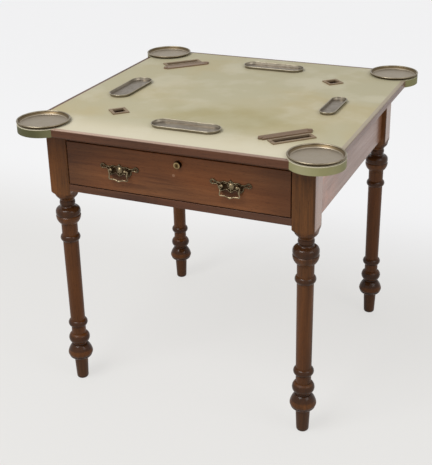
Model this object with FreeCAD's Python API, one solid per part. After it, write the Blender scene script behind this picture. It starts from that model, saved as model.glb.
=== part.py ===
import FreeCAD, Part
import math
import os

# Mahjong table: a square leather-covered top with four round corner ears, on a
# walnut frame with turned legs and a drawer at the front and at the back.
# Millimetres.  Origin on the floor under the middle of the top, +Z up, the
# front drawer faces -Y.

Vec = FreeCAD.Vector
os.makedirs("parts", exist_ok=True)

# ---------------------------------------------------------------- sizes
# table top
table_height = 740.0            # floor to playing surface
top_width = 780.0               # over the left and right lippings
top_depth = 780.0               # over the front and back lippings
lipping_width = 10.0
lipping_height = 20.0
lipping_round = 2.5
leather_thickness = 1.2

# round ears at the corners of the top
ear_radius = 65.0               # over the leather band
ear_inset = 44.0                # ear centre, in from both edges of the top
band_thickness = 1.5
corner_block = 168.0            # side of the board's corner blocks, which carry the ears

# round corner dishes, let through the leather
dish_rim_radius = 65.6          # outermost radius, over the rolled rim
dish_base_radius = 57.0
dish_height = 8.5               # rim above the playing surface
dish_gauge = 1.2
dish_bead_radius = 2.2
dish_hole_clearance = 0.3       # dish wall to the edge of its hole

# round-ended counter trays, each laid by hand a little off the middle line
tray_length = 178.0             # over the rolled rim
tray_width = 60.0
right_tray_length = 140.0       # the tray at the right is a smaller one
right_tray_width = 42.0
tray_height = 8.0
tray_wall_lean = 3.0            # how far the wall leans out on its way up
tray_gauge = 1.0
tray_bead_radius = 1.4
front_tray_inset = 119.0        # tray centres, in from the edge of the top
back_tray_inset = 97.0
left_tray_inset = 112.0
right_tray_inset = 112.0
back_tray_shift = 12.0          # towards +X
left_tray_shift = 24.0          # towards -Y

# lined wells, lined slots and pinned bars, all set cornerwise
inlay_angle = 45.0
liner_rim_height = 3.0          # rim proud of the leather
liner_rim_width = 4.0           # rim beyond the liner's walls
liner_wall = 3.0
liner_floor = 3.0
liner_depth = 14.0              # underside of the liner below the leather
well_opening = 28.0
well_offset = 212.0             # centre, from the table's middle, in X and in Y
slot_length = 94.0
slot_width = 18.0
slot_offset = 260.0
bar_length = 138.0              # over the pins' heads
bar_width = 24.0
bar_height = 3.5
bar_offset = 236.0
bar_pin_radius = 3.5
bar_pin_depth = 10.0
bar_head_radius = 6.0
bar_head_proud = 1.0            # head above the bar

# legs
leg_block = 55.0                # side of the square block
leg_block_length = 166.0
leg_inset = 45.0                # block faces in from the edges of the top
block_round = 1.5
foot_height = 52.0
foot_tip_radius = 13.5
foot_top_radius = 15.5
foot_tip_round = 5.0
turning_step = 1.5              # small square steps and grooves between mouldings
flange_radius = 31.0
flange_underside_radius = 24.0
flange_bowl_height = 25.0
flange_shoulder_height = 31.0
neck_height = 4.0
neck_radius = 18.0
bead_radius = 26.5
bead_height = 29.0
ankle_height = 22.0
ankle_radius = 18.0
lower_ring_radius = 24.0
lower_ring_height = 19.0
shaft_bottom_radius = 18.3
shaft_top_radius = 19.4
upper_ring_radius = 24.6
upper_ring_height = 17.0
column_height = 31.0
column_radius = 20.0
bulb_radius = 30.6
bulb_bowl_height = 24.0
bulb_shoulder_height = 22.0
bulb_top_radius = 20.5
throat_height = 6.0
throat_radius = 16.8
collar_radius = 19.5
collar_height = 12.0
cup_height = 26.0
cup_cove_height = 10.0          # hollow lower stretch of the cup
cup_cove_radius = 22.5          # where the hollow turns into the round

# frame
apron_height = 155.0
apron_thickness = 22.0
apron_recess = 12.5             # apron face behind the leg block's face
lower_rail_height = 18.0
upper_rail_height = 21.0
rail_reveal = 0.8               # rails and drawers behind the leg block's face
rail_round = 1.0
tenon_length = 20.0
tenon_thickness = 9.0
tenon_shoulder = 12.0
runner_ledge = 16.0             # ledge under the drawer side, inside the guide
runner_thickness = 10.0
guide_height = 18.0
partition_thickness = 18.0

# drawers
front_gap = 2.0                 # visible gap round the drawer front
slide_clearance = 0.3           # drawer above its runners
side_clearance = 0.8            # drawer side to its guide
drawer_top_clearance = 2.0
drawer_end_clearance = 3.0      # drawer back to the partition
front_thickness = 20.0
front_round = 2.0
side_thickness = 12.0
drawer_back_thickness = 12.0
drawer_back_drop = 7.0          # drawer back lower than the sides
bottom_thickness = 5.0
bottom_raise = 7.0              # underside of the bottom above the sides' edge
groove_depth = 5.0
dovetail_lap = 6.0              # wood left in front of the tails
dovetail_count = 4
dovetail_slope = 1.0 / 7.0
dovetail_share = 0.68           # widest part of a tail, of the tail spacing

# pulls
pull_share = 0.5                # pull middle, of the drawer front's half width
pull_rise = 2.0                 # bail pivots above the middle of the drawer front
plate_width = 105.0
plate_height = 32.0
plate_thickness = 1.5
plate_drop = 1.5                # middle of the plate below the pivots
scroll_eye_radius = 2.2         # round holes in the ends of the wings
scroll_eye_out = 0.84           # the holes, as a share of the half width
scroll_eye_up = 0.36            # and of the half height
wing_slot_radius = 1.6          # slots between the wings' scrolls and the posts
wing_slot_out = 0.62            # the slots, as a share of the half width
boss_radius = 7.0
boss_height = 2.5
post_spacing = 38.0
post_radius = 3.0
post_hole_clearance = 0.2
post_head_radius = 4.2
post_reach = 8.0                # bail pivot in front of the plate
nut_radius = 6.0
nut_thickness = 3.0
bail_wire_radius = 1.7
bail_bore_clearance = 0.06
bail_half_width = 26.0
bail_waist = 3.0                # how far the bail's sides draw in on each side
bail_drop = 30.0
bail_shoulder_bend = 2.5        # the bends' radii, from the pivots down to the middle
bail_waist_bend = 9.0
bail_foot_bend = 3.2
bail_dip_bend = 8.0
bail_middle_bend = 9.0

# locks
lock_offset = 12.0              # barrel axis right of the drawer's middle
lock_setdown = 21.0             # barrel axis below the drawer front's top edge
lock_case_width = 40.0
lock_case_thickness = 8.0
lock_case_below = 13.0          # case below the barrel axis
barrel_radius = 8.0
barrel_proud = 9.0
collar_ring_radius = 9.5
collar_ring_thickness = 1.2
plug_radius = 5.0
plug_clearance = 0.05
plug_length = 17.0
keyway_width = 1.4
keyway_height = 6.0
keyway_depth = 5.0
bolt_width = 16.0
bolt_thickness = 4.0
bolt_length = 20.0
bolt_clearance = 0.2
bolt_set_back = 0.6             # bolt end below the drawer front's top edge
bolt_throw = 8.0
keep_clearance = 1.0            # bolt to the slot it rises into

# ------------------------------------------------------- places worked out
half_x = top_width / 2
half_y = top_depth / 2
board_x = half_x - lipping_width
board_y = half_y - lipping_width
top_underside = table_height - lipping_height
board_top = table_height - leather_thickness
ear_x = half_x - ear_inset
ear_y = half_y - ear_inset
ear_wood_radius = ear_radius - band_thickness
leg_x = half_x - leg_inset - leg_block / 2
leg_y = half_y - leg_inset - leg_block / 2
block_outer_x = leg_x + leg_block / 2
block_outer_y = leg_y + leg_block / 2
block_inner_x = leg_x - leg_block / 2
block_inner_y = leg_y - leg_block / 2
block_bottom = top_underside - leg_block_length
frame_bottom = top_underside - apron_height
opening_bottom = frame_bottom + lower_rail_height
opening_top = top_underside - upper_rail_height
rail_face_y = -(block_outer_y - rail_reveal)

front_half_width = block_inner_x - front_gap
front_back_y = rail_face_y + front_thickness
front_low = opening_bottom + front_gap
front_high = opening_top - front_gap
pull_x = front_half_width * pull_share
pull_height = (front_low + front_high) / 2 + pull_rise
lock_height = front_high - lock_setdown
side_outer = block_inner_x - side_clearance
side_inner = side_outer - side_thickness
side_low = opening_bottom + slide_clearance
side_high = opening_top - drawer_top_clearance
drawer_end_y = -(partition_thickness / 2 + drawer_end_clearance)
bottom_low = side_low + bottom_raise
bottom_high = bottom_low + bottom_thickness
case_front_y = front_back_y - lock_case_thickness
bolt_front_y = case_front_y + (lock_case_thickness - bolt_thickness) / 2
bolt_back_y = bolt_front_y + bolt_thickness

corners = {"fl": (-1, -1), "fr": (1, -1), "bl": (-1, 1), "br": (1, 1)}


# ------------------------------------------------------------ small helpers
def box(x0, x1, y0, y1, z0, z1):
    """A box between the given limits, in either order."""
    low = Vec(min(x0, x1), min(y0, y1), min(z0, z1))
    return Part.makeBox(abs(x1 - x0), abs(y1 - y0), abs(z1 - z0), low)


def disc(x, y, radius, z0, z1):
    """An upright cylinder."""
    return Part.makeCylinder(radius, z1 - z0, Vec(x, y, z0))


def cornerwise(shape, x, y):
    """Turn a shape made round the origin to the inlays' angle and place it."""
    placed = shape.copy()
    placed.rotate(Vec(0, 0, 0), Vec(0, 0, 1), inlay_angle)
    placed.translate(Vec(x, y, 0))
    return placed


def turned_about(shape):
    """The same shape on the opposite side of the table."""
    turned = shape.copy()
    turned.rotate(Vec(0, 0, 0), Vec(0, 0, 1), 180)
    return turned


def save(name, *solids):
    """Write one sub-part; several like pieces share a file as separate solids."""
    shape = solids[0] if len(solids) == 1 else Part.makeCompound(list(solids))
    shape.exportStep("parts/" + name + ".step")


class Outline:
    """A flat outline in the XZ plane, drawn one edge after another.

    The bulge of an arc is its height over the chord, positive to the right of
    the direction of travel, which is outwards on an outline drawn
    anticlockwise as seen from -Y."""

    def __init__(self, x, z):
        self.start = (x, z)
        self.at = (x, z)
        self.edges = []

    def line(self, x, z):
        if math.hypot(x - self.at[0], z - self.at[1]) > 1e-6:
            edge = Part.LineSegment(Vec(self.at[0], 0, self.at[1]), Vec(x, 0, z))
            self.edges.append(edge.toShape())
            self.at = (x, z)
        return self

    def arc(self, x, z, bulge):
        dx = x - self.at[0]
        dz = z - self.at[1]
        chord = math.hypot(dx, dz)
        middle_x = (x + self.at[0]) / 2 + bulge * dz / chord
        middle_z = (z + self.at[1]) / 2 - bulge * dx / chord
        curve = Part.Arc(Vec(self.at[0], 0, self.at[1]), Vec(middle_x, 0, middle_z), Vec(x, 0, z))
        self.edges.append(curve.toShape())
        self.at = (x, z)
        return self

    def swell(self, x, z):
        """An outward arc that stands upright at its wider end."""
        across = abs(x - self.at[0])
        chord = math.hypot(across, z - self.at[1])
        radius = chord ** 2 / (2 * across)
        return self.arc(x, z, radius - math.sqrt(radius ** 2 - chord ** 2 / 4))

    def face(self):
        self.line(*self.start)
        return Part.Face(Part.Wire(self.edges))


def revolved(face, angle=360.0):
    """Turn a face about the upright axis through the origin."""
    return face.revolve(Vec(0, 0, 0), Vec(0, 0, 1), angle)


# ------------------------------------------------------------------ the top
def liner(length, width):
    """A wooden lining for a well or slot: a small open box with a rim."""
    outer_x = length / 2 + liner_wall
    outer_y = width / 2 + liner_wall
    rim_x = outer_x + liner_rim_width
    rim_y = outer_y + liner_rim_width
    rim_top = table_height + liner_rim_height
    underside = table_height - liner_depth
    body = box(-outer_x, outer_x, -outer_y, outer_y, underside, table_height)
    rim = box(-rim_x, rim_x, -rim_y, rim_y, table_height, rim_top)
    hollow = box(-length / 2, length / 2, -width / 2, width / 2, underside + liner_floor, rim_top)
    return body.fuse(rim).cut(hollow).removeSplitter(), body


def score_bar():
    """A flat bar with hollowed ends, and the round-headed pin in each hollow."""
    pin_x = bar_length / 2 - bar_head_radius
    bar_top = table_height + bar_height
    bar = box(-pin_x, pin_x, -bar_width / 2, bar_width / 2, table_height, bar_top)
    pins = []
    for x in (-pin_x, pin_x):
        head = disc(x, 0, bar_head_radius, table_height, bar_top + bar_head_proud)
        pins.append(head.fuse(disc(x, 0, bar_pin_radius, table_height - bar_pin_depth, table_height)))
    return bar.cut(pins), pins


def pan_wall_section(base_radius, rim_radius, height, gauge, bead_radius, base):
    """Half the section of a spun pan and its wall's lean from upright.

    The floor's underside lies at base.  The rolled rim is a round bead whose
    outside just reaches rim_radius and whose top just reaches height above the
    playing surface, and the wall leans out towards the middle of the bead."""
    bead_x = rim_radius - bead_radius
    bead_z = table_height + height - bead_radius
    out = bead_x - base_radius
    up = bead_z - base
    lean = math.atan2(out, up) + math.asin(gauge / 2 / math.hypot(out, up))
    sine = math.sin(lean)
    cosine = math.cos(lean)
    sunk = math.sqrt(bead_radius ** 2 - (gauge / 2) ** 2)
    joint_x = bead_x - sunk * sine
    joint_z = bead_z - sunk * cosine
    section = Outline(0, base)
    section.line(base_radius, base)
    section.line(joint_x + gauge / 2 * cosine, joint_z - gauge / 2 * sine)
    section.arc(joint_x - gauge / 2 * cosine, joint_z + gauge / 2 * sine, bead_radius + sunk)
    section.line(base_radius - gauge * (1 - sine) / cosine, base + gauge)
    section.line(0, base + gauge)
    return section.face(), lean


def corner_dish():
    """A round dish that stands on the board, and the radius of its hole in the leather."""
    section, lean = pan_wall_section(dish_base_radius, dish_rim_radius, dish_height,
                                     dish_gauge, dish_bead_radius, board_top)
    hole_radius = dish_base_radius + leather_thickness * math.tan(lean) + dish_hole_clearance
    return revolved(section), hole_radius


def counter_tray(length, width):
    """A long tray: a straight pan section closed by two half-round ends."""
    rim_radius = width / 2
    half, lean = pan_wall_section(rim_radius - tray_wall_lean, rim_radius, tray_height,
                                  tray_gauge, tray_bead_radius, table_height)
    straight = length - width
    end = revolved(half, 180)
    end.rotate(Vec(0, 0, 0), Vec(0, 0, 1), -90)
    end.translate(Vec(straight / 2, 0, 0))
    across = half.copy()
    across.rotate(Vec(0, 0, 0), Vec(0, 0, 1), 90)
    across.translate(Vec(-straight / 2, 0, 0))
    side = across.extrude(Vec(straight, 0, 0))
    tray = end.fuse([turned_about(end), side, turned_about(side)])
    return tray.removeSplitter()


def save_board(board):
    """The board is a middle panel and four side boards, with a block at each corner."""
    joint_x = board_x - corner_block
    joint_y = board_y - corner_block
    reach_x = ear_x + ear_radius
    reach_y = ear_y + ear_radius
    blocks = []
    panels = []
    for x0, x1 in ((-reach_x, -joint_x), (-joint_x, joint_x), (joint_x, reach_x)):
        for y0, y1 in ((-reach_y, -joint_y), (-joint_y, joint_y), (joint_y, reach_y)):
            piece = board.common(box(x0, x1, y0, y1, top_underside, board_top))
            at_corner = x0 * x1 > 0 and y0 * y1 > 0
            (blocks if at_corner else panels).append(piece)
    save("corner_blocks", *blocks)
    save("top_board", *panels)


def table_top():
    """The board, its leather, lippings, ear bands, dishes, trays and inlays."""
    ears = [disc(sx * ear_x, sy * ear_y, ear_wood_radius, top_underside, board_top)
            for sx, sy in corners.values()]
    board = box(-board_x, board_x, -board_y, board_y, top_underside, board_top).fuse(ears)
    leather = box(-board_x, board_x, -board_y, board_y, board_top, table_height)
    leather = leather.fuse([disc(sx * ear_x, sy * ear_y, ear_radius, board_top, table_height)
                            for sx, sy in corners.values()])
    board = board.removeSplitter()
    leather = leather.removeSplitter()

    # the dishes stand in round holes in the leather
    dish, hole_radius = corner_dish()
    for name, (sx, sy) in corners.items():
        placed = dish.copy()
        placed.translate(Vec(sx * ear_x, sy * ear_y, 0))
        save("corner_dish_" + name, placed)
        leather = leather.cut(disc(sx * ear_x, sy * ear_y, hole_radius, board_top, table_height))

    # the linings sink through the leather into the board
    well, well_body = liner(well_opening, well_opening)
    slot, slot_body = liner(slot_length, slot_width)
    bar, pins = score_bar()
    sunk = []
    for name, sign in (("left", -1), ("right", 1)):
        save("well_liner_" + name, cornerwise(well, sign * well_offset, sign * well_offset))
        sunk.append(cornerwise(well_body, sign * well_offset, sign * well_offset))
    for name, sign in (("front", 1), ("back", -1)):
        save("slot_liner_" + name, cornerwise(slot, sign * slot_offset, -sign * slot_offset))
        sunk.append(cornerwise(slot_body, sign * slot_offset, -sign * slot_offset))
    bar_place = (bar_offset, -bar_offset)
    front_bar = cornerwise(bar, *bar_place)
    front_pins = [cornerwise(pin, *bar_place) for pin in pins]
    back_pins = [turned_about(pin) for pin in front_pins]
    save("score_bar_front", front_bar, *front_pins)
    save("score_bar_back", turned_about(front_bar), *back_pins)
    sunk += front_pins + back_pins
    for piece in sunk:
        board = board.cut(piece)
        leather = leather.cut(piece)
    save_board(board)
    save("leather_top", leather)

    # the covering's bands wrap the ears between the lippings' ends
    bands = []
    square = box(-board_x, board_x, -board_y, board_y, top_underside, board_top)
    for sx, sy in corners.values():
        band = disc(sx * ear_x, sy * ear_y, ear_radius, top_underside, board_top)
        band = band.cut(disc(sx * ear_x, sy * ear_y, ear_wood_radius, top_underside, board_top))
        bands.append(band.cut(square))
    save("ear_bands", *bands)

    # lippings, with their ends hollowed to the ears
    for name, sy in (("front", -1), ("back", 1)):
        strip = box(-ear_x, ear_x, sy * board_y, sy * half_y, top_underside, table_height)
        outer = [e for e in strip.Edges if runs_along(e, 0) and abs(e.CenterOfMass.y - sy * half_y) < 1e-3]
        strip = strip.makeFillet(lipping_round, outer)
        save("lipping_" + name, cut_by_ears(strip))
    for name, sx in (("left", -1), ("right", 1)):
        strip = box(sx * board_x, sx * half_x, -ear_y, ear_y, top_underside, table_height)
        outer = [e for e in strip.Edges if runs_along(e, 1) and abs(e.CenterOfMass.x - sx * half_x) < 1e-3]
        strip = strip.makeFillet(lipping_round, outer)
        save("lipping_" + name, cut_by_ears(strip))

    # one counter tray for each player
    tray = counter_tray(tray_length, tray_width)
    right_tray = counter_tray(right_tray_length, right_tray_width)
    for name, pan, turn, x, y in (("front", tray, 0, 0, front_tray_inset - half_y),
                                  ("back", tray, 180, back_tray_shift, half_y - back_tray_inset),
                                  ("left", tray, 90, left_tray_inset - half_x, -left_tray_shift),
                                  ("right", right_tray, -90, half_x - right_tray_inset, 0)):
        placed = pan.copy()
        placed.rotate(Vec(0, 0, 0), Vec(0, 0, 1), turn)
        placed.translate(Vec(x, y, 0))
        save("counter_tray_" + name, placed)


def runs_along(edge, axis):
    """True for a straight edge along the given axis: 0 is X, 1 is Y, 2 is Z."""
    span = edge.BoundBox
    return (span.XLength, span.YLength, span.ZLength)[axis] > 0.99 * edge.Length


def cut_by_ears(strip):
    for sx, sy in corners.values():
        strip = strip.cut(disc(sx * ear_x, sy * ear_y, ear_radius, top_underside, table_height))
    return strip


# ----------------------------------------------------------------- the frame
def turn_bead(leg, radius, height):
    """A round bead between two small steps, back to the radius below it."""
    below, z = leg.at
    leg.line(below + turning_step, z)
    leg.arc(below + turning_step, z + height, radius - below - turning_step)
    leg.line(below, z + height)


def turn_knob(leg, radius, bowl_height, shoulder_height, top_radius):
    """A bowl below and a round shoulder above, parted by a groove."""
    parting = leg.at[1] + bowl_height
    leg.swell(radius, parting - turning_step)
    leg.line(radius - turning_step, parting)
    leg.swell(radius, parting + shoulder_height / 2)
    leg.swell(top_radius, parting + shoulder_height)


def turned_leg():
    """Foot, flange, bead, rings, shaft, bulb and cup, turned below the block."""
    leg = Outline(0, 0)
    leg.line(foot_tip_radius - foot_tip_round, 0)
    leg.swell(foot_tip_radius, foot_tip_round)
    leg.line(foot_top_radius, foot_height)
    leg.line(flange_underside_radius, foot_height)
    turn_knob(leg, flange_radius, flange_bowl_height, flange_shoulder_height, neck_radius + turning_step)
    leg.line(neck_radius, leg.at[1])
    leg.line(neck_radius, leg.at[1] + neck_height)
    turn_bead(leg, bead_radius, bead_height)
    leg.line(ankle_radius, leg.at[1] + ankle_height)
    turn_bead(leg, lower_ring_radius, lower_ring_height)
    leg.line(shaft_bottom_radius, leg.at[1])
    # the shaft takes what is left below the upper turnings
    cup_bottom = block_bottom - cup_height
    bulb_top = cup_bottom - collar_height - throat_height
    column_bottom = bulb_top - bulb_shoulder_height - bulb_bowl_height - column_height
    leg.line(shaft_top_radius, column_bottom - upper_ring_height)
    turn_bead(leg, upper_ring_radius, upper_ring_height)
    leg.line(column_radius, column_bottom)
    leg.line(column_radius, column_bottom + column_height)
    turn_knob(leg, bulb_radius, bulb_bowl_height, bulb_shoulder_height, bulb_top_radius)
    # hollow throat, collar, and the cup that spreads under the block
    leg.arc(throat_radius, bulb_top + throat_height, -turning_step)
    turn_bead(leg, collar_radius, collar_height)
    leg.line(collar_radius - turning_step, cup_bottom)
    leg.arc(cup_cove_radius, cup_bottom + cup_cove_height, -turning_step)
    leg.swell(leg_block / 2, block_bottom)
    leg.line(0, block_bottom)
    return revolved(leg.face())


def rail(z0, z1):
    """A front rail between the leg blocks, with a flat tenon at each end."""
    body = box(-block_inner_x, block_inner_x, rail_face_y, -block_inner_y, z0, z1)
    face_edges = [e for e in body.Edges if runs_along(e, 0) and abs(e.CenterOfMass.y - rail_face_y) < 1e-3]
    body = body.makeFillet(rail_round, face_edges)
    middle = (z0 + z1) / 2
    reach = block_inner_x + tenon_length
    tenon = box(-reach, reach, rail_face_y + tenon_shoulder, -block_inner_y - tenon_shoulder,
                middle - tenon_thickness / 2, middle + tenon_thickness / 2)
    return body.fuse(tenon).removeSplitter()


def frame():
    """Legs, aprons, rails, runners, kickers and the partition."""
    apron_outer = block_outer_x - apron_recess
    apron_inner = apron_outer - apron_thickness
    apron = box(apron_inner, apron_outer, -block_inner_y, block_inner_y, frame_bottom, top_underside)
    tongue_x = (apron_inner + apron_outer - tenon_thickness) / 2
    reach = block_inner_y + tenon_length
    apron = apron.fuse(box(tongue_x, tongue_x + tenon_thickness, -reach, reach,
                           frame_bottom + tenon_shoulder, top_underside - tenon_shoulder))
    apron = apron.removeSplitter()
    lower = rail(frame_bottom, opening_bottom)
    upper = rail(opening_top, top_underside)
    # the lock's bolt rises into a slot in the upper rail
    keep_half = bolt_width / 2 + keep_clearance
    upper = upper.cut(box(lock_offset - keep_half, lock_offset + keep_half, bolt_front_y - keep_clearance,
                          bolt_back_y + keep_clearance, opening_top, opening_top + bolt_throw))
    tenoned = []
    for name, piece in (("apron_right", apron), ("front_lower_rail", lower), ("front_upper_rail", upper)):
        save(name, piece)
        tenoned.append(piece)
    for name, piece in (("apron_left", apron), ("back_lower_rail", lower), ("back_upper_rail", upper)):
        opposite = turned_about(piece)
        save(name, opposite)
        tenoned.append(opposite)

    block = box(-leg_block / 2, leg_block / 2, -leg_block / 2, leg_block / 2, block_bottom, top_underside)
    block = block.makeFillet(block_round, [e for e in block.Edges if runs_along(e, 2)])
    leg = block.fuse(turned_leg())
    for name, (sx, sy) in corners.items():
        placed = leg.copy()
        placed.translate(Vec(sx * leg_x, sy * leg_y, 0))
        save("leg_" + name, placed.cut(tenoned))

    # L-shaped runners: a ledge under the drawer side and a guide beside it
    ledge_x = block_inner_x - runner_ledge
    runner = box(ledge_x, apron_inner, -block_inner_y, block_inner_y,
                 opening_bottom - runner_thickness, opening_bottom)
    guide = box(block_inner_x, apron_inner, -block_inner_y, block_inner_y,
                opening_bottom, opening_bottom + guide_height)
    runner = runner.fuse(guide).removeSplitter()
    save("runner_right", runner)
    save("runner_left", turned_about(runner))
    kicker = box(ledge_x, apron_inner, -block_inner_y, block_inner_y, opening_top, top_underside)
    save("kickers", kicker, turned_about(kicker))
    save("partition", box(-block_inner_x, block_inner_x, -partition_thickness / 2,
                          partition_thickness / 2, opening_bottom, opening_top))


# --------------------------------------------------------------- the drawers
def drawer_side():
    """The right-hand side, whose front end is cut into half-blind tails."""
    board = box(side_inner, side_outer, front_back_y, drawer_end_y, side_low, side_high)
    pitch = (side_high - side_low) / dovetail_count
    tail_length = front_thickness - dovetail_lap
    wide = pitch * dovetail_share / 2
    narrow = wide - tail_length * dovetail_slope
    tails = []
    for number in range(dovetail_count):
        middle = side_low + pitch * (number + 0.5)
        corner_points = [Vec(side_inner, front_back_y, middle - narrow),
                         Vec(side_inner, front_back_y - tail_length, middle - wide),
                         Vec(side_inner, front_back_y - tail_length, middle + wide),
                         Vec(side_inner, front_back_y, middle + narrow)]
        tail = Part.Face(Part.makePolygon(corner_points + corner_points[:1]))
        tails.append(tail.extrude(Vec(front_half_width - side_inner, 0, 0)))
    return board.fuse(tails).removeSplitter()


def drawer_front():
    """The front board, rounded at the edges of its face."""
    board = box(-front_half_width, front_half_width, rail_face_y, front_back_y, front_low, front_high)
    face_edges = [e for e in board.Edges if abs(e.CenterOfMass.y - rail_face_y) < 1e-3]
    return board.makeFillet(front_round, face_edges)


def pull_plate():
    """A cast batwing plate: one half drawn from the foot up to the crest,
    mirrored, with a boss in the middle and pierced wings."""
    half_width = plate_width / 2
    half_height = plate_height / 2
    # each arc's end as shares of the half width and half height, and its bulge:
    # foot leaf, dip, lobe under the post, waist, wing, end scroll, saddle, crest
    edge_points = ((0.15, -0.62, 1.5), (0.31, -0.74, -1.2), (0.57, -0.62, 3.5), (0.60, -0.14, 1.5),
                   (0.79, 0.00, -1.5), (1.00, 0.34, 3.0), (0.76, 0.70, 4.0), (0.50, 0.44, -2.0),
                   (0.22, 0.56, 1.5), (0.00, 1.00, -2.0))
    right = Outline(0, -half_height)
    for share_x, share_z, bulge in edge_points:
        right.arc(share_x * half_width, share_z * half_height, bulge)
    half = right.face().extrude(Vec(0, -plate_thickness, 0))
    plate = half.fuse(half.mirror(Vec(0, 0, 0), Vec(1, 0, 0))).removeSplitter()
    boss = Part.makeCone(boss_radius, boss_radius / 2, boss_height, Vec(0, -plate_thickness, 0), Vec(0, -1, 0))
    plate = plate.fuse(boss)
    eye_x = scroll_eye_out * half_width
    eye_z = scroll_eye_up * half_height
    slot_x = wing_slot_out * half_width
    for side in (-1, 1):
        plate = plate.cut(Part.makeCylinder(scroll_eye_radius, plate_thickness,
                                            Vec(side * eye_x, 0, eye_z), Vec(0, -1, 0)))
        # an upright slot with round ends
        for z in (0, wing_slot_radius):
            plate = plate.cut(Part.makeCylinder(wing_slot_radius, plate_thickness,
                                                Vec(side * slot_x, 0, z), Vec(0, -1, 0)))
    return plate


def pull_post():
    """A bolt through the drawer front: nut inside, round bored head outside."""
    pivot_y = -(plate_thickness + post_reach)
    shank = Part.makeCylinder(post_radius, front_thickness + nut_thickness - pivot_y,
                              Vec(0, pivot_y, 0), Vec(0, 1, 0))
    nut = Part.makeCylinder(nut_radius, nut_thickness, Vec(0, front_thickness, 0), Vec(0, 1, 0))
    head = Part.makeSphere(post_head_radius, Vec(0, pivot_y, 0))
    bore_reach = post_head_radius + plate_thickness
    bore = Part.makeCylinder(bail_wire_radius + bail_bore_clearance, 2 * bore_reach,
                             Vec(-bore_reach, pivot_y, 0), Vec(1, 0, 0))
    return shank.fuse([nut, head]).cut(bore)


def rounded_wire(points, radii):
    """Straight runs in the XZ plane, joined by tangent arcs of the given radii."""
    edges = []
    last = Vec(points[0][0], 0, points[0][1])
    for index in range(1, len(points) - 1):
        corner = Vec(points[index][0], 0, points[index][1])
        before = Vec(points[index - 1][0], 0, points[index - 1][1]) - corner
        after = Vec(points[index + 1][0], 0, points[index + 1][1]) - corner
        before.normalize()
        after.normalize()
        half_angle = before.getAngle(after) / 2
        setback = radii[index - 1] / math.tan(half_angle)
        arc_start = corner + before * setback
        arc_end = corner + after * setback
        inward = before + after
        inward.normalize()
        arc_middle = corner + inward * (radii[index - 1] / math.sin(half_angle) - radii[index - 1])
        if (arc_start - last).Length > 1e-6:
            edges.append(Part.LineSegment(last, arc_start).toShape())
        edges.append(Part.Arc(arc_start, arc_middle, arc_end).toShape())
        last = arc_end
    end = Vec(points[-1][0], 0, points[-1][1])
    edges.append(Part.LineSegment(last, end).toShape())
    return Part.Wire(edges)


def bail():
    """A swan-neck bail of round wire; its turned-in ends pivot in the posts."""
    # the ends stop just short of the posts' inner faces
    tip_x = (post_spacing - post_head_radius) / 2
    # each corner across and down, and the radius of the bend there
    corners_right = ((bail_half_width, 0, bail_shoulder_bend),
                     (bail_half_width - bail_waist, -0.42 * bail_drop, bail_waist_bend),
                     (bail_half_width, -0.82 * bail_drop, bail_foot_bend),
                     (0.44 * bail_half_width, -0.80 * bail_drop, bail_dip_bend))
    points = [(tip_x, 0)] + [(x, z) for x, z, bend in corners_right]
    points += [(0, -0.94 * bail_drop)] + [(-x, z) for x, z in reversed(points)]
    bends = [bend for x, z, bend in corners_right]
    bends += [bail_middle_bend] + bends[::-1]
    path = rounded_wire(points, bends)
    ring = Part.Wire(Part.makeCircle(bail_wire_radius, Vec(tip_x, 0, 0), Vec(1, 0, 0)))
    return path.makePipeShell([ring], True, False)


def lock():
    """Case with its barrel, turning plug and sliding bolt, for the front drawer."""
    case_top = front_high
    case = box(-lock_case_width / 2, lock_case_width / 2, case_front_y, front_back_y,
               lock_height - lock_case_below, case_top)
    barrel_front = rail_face_y - barrel_proud
    barrel = Part.makeCylinder(barrel_radius, case_front_y - barrel_front,
                               Vec(0, barrel_front, lock_height), Vec(0, 1, 0))
    ring = Part.makeCylinder(collar_ring_radius, collar_ring_thickness,
                             Vec(0, rail_face_y - collar_ring_thickness, lock_height), Vec(0, 1, 0))
    outside = case.fuse([barrel, ring])
    bore = Part.makeCylinder(plug_radius + plug_clearance, plug_length,
                             Vec(0, barrel_front, lock_height), Vec(0, 1, 0))
    bolt_top = case_top - bolt_set_back
    channel = box(-bolt_width / 2 - bolt_clearance, bolt_width / 2 + bolt_clearance,
                  bolt_front_y - bolt_clearance, bolt_back_y + bolt_clearance,
                  bolt_top - bolt_length - bolt_clearance, case_top)
    plug = Part.makeCylinder(plug_radius, plug_length - plug_clearance,
                             Vec(0, barrel_front, lock_height), Vec(0, 1, 0))
    keyway = box(-keyway_width / 2, keyway_width / 2, barrel_front, barrel_front + keyway_depth,
                 lock_height - keyway_height / 2, lock_height + keyway_height / 2)
    bolt = box(-bolt_width / 2, bolt_width / 2, bolt_front_y, bolt_back_y, bolt_top - bolt_length, bolt_top)
    solids = [outside, outside.cut([bore, channel]), plug.cut(keyway), bolt]
    for solid in solids:
        solid.translate(Vec(lock_offset, 0, 0))
    return solids


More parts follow.
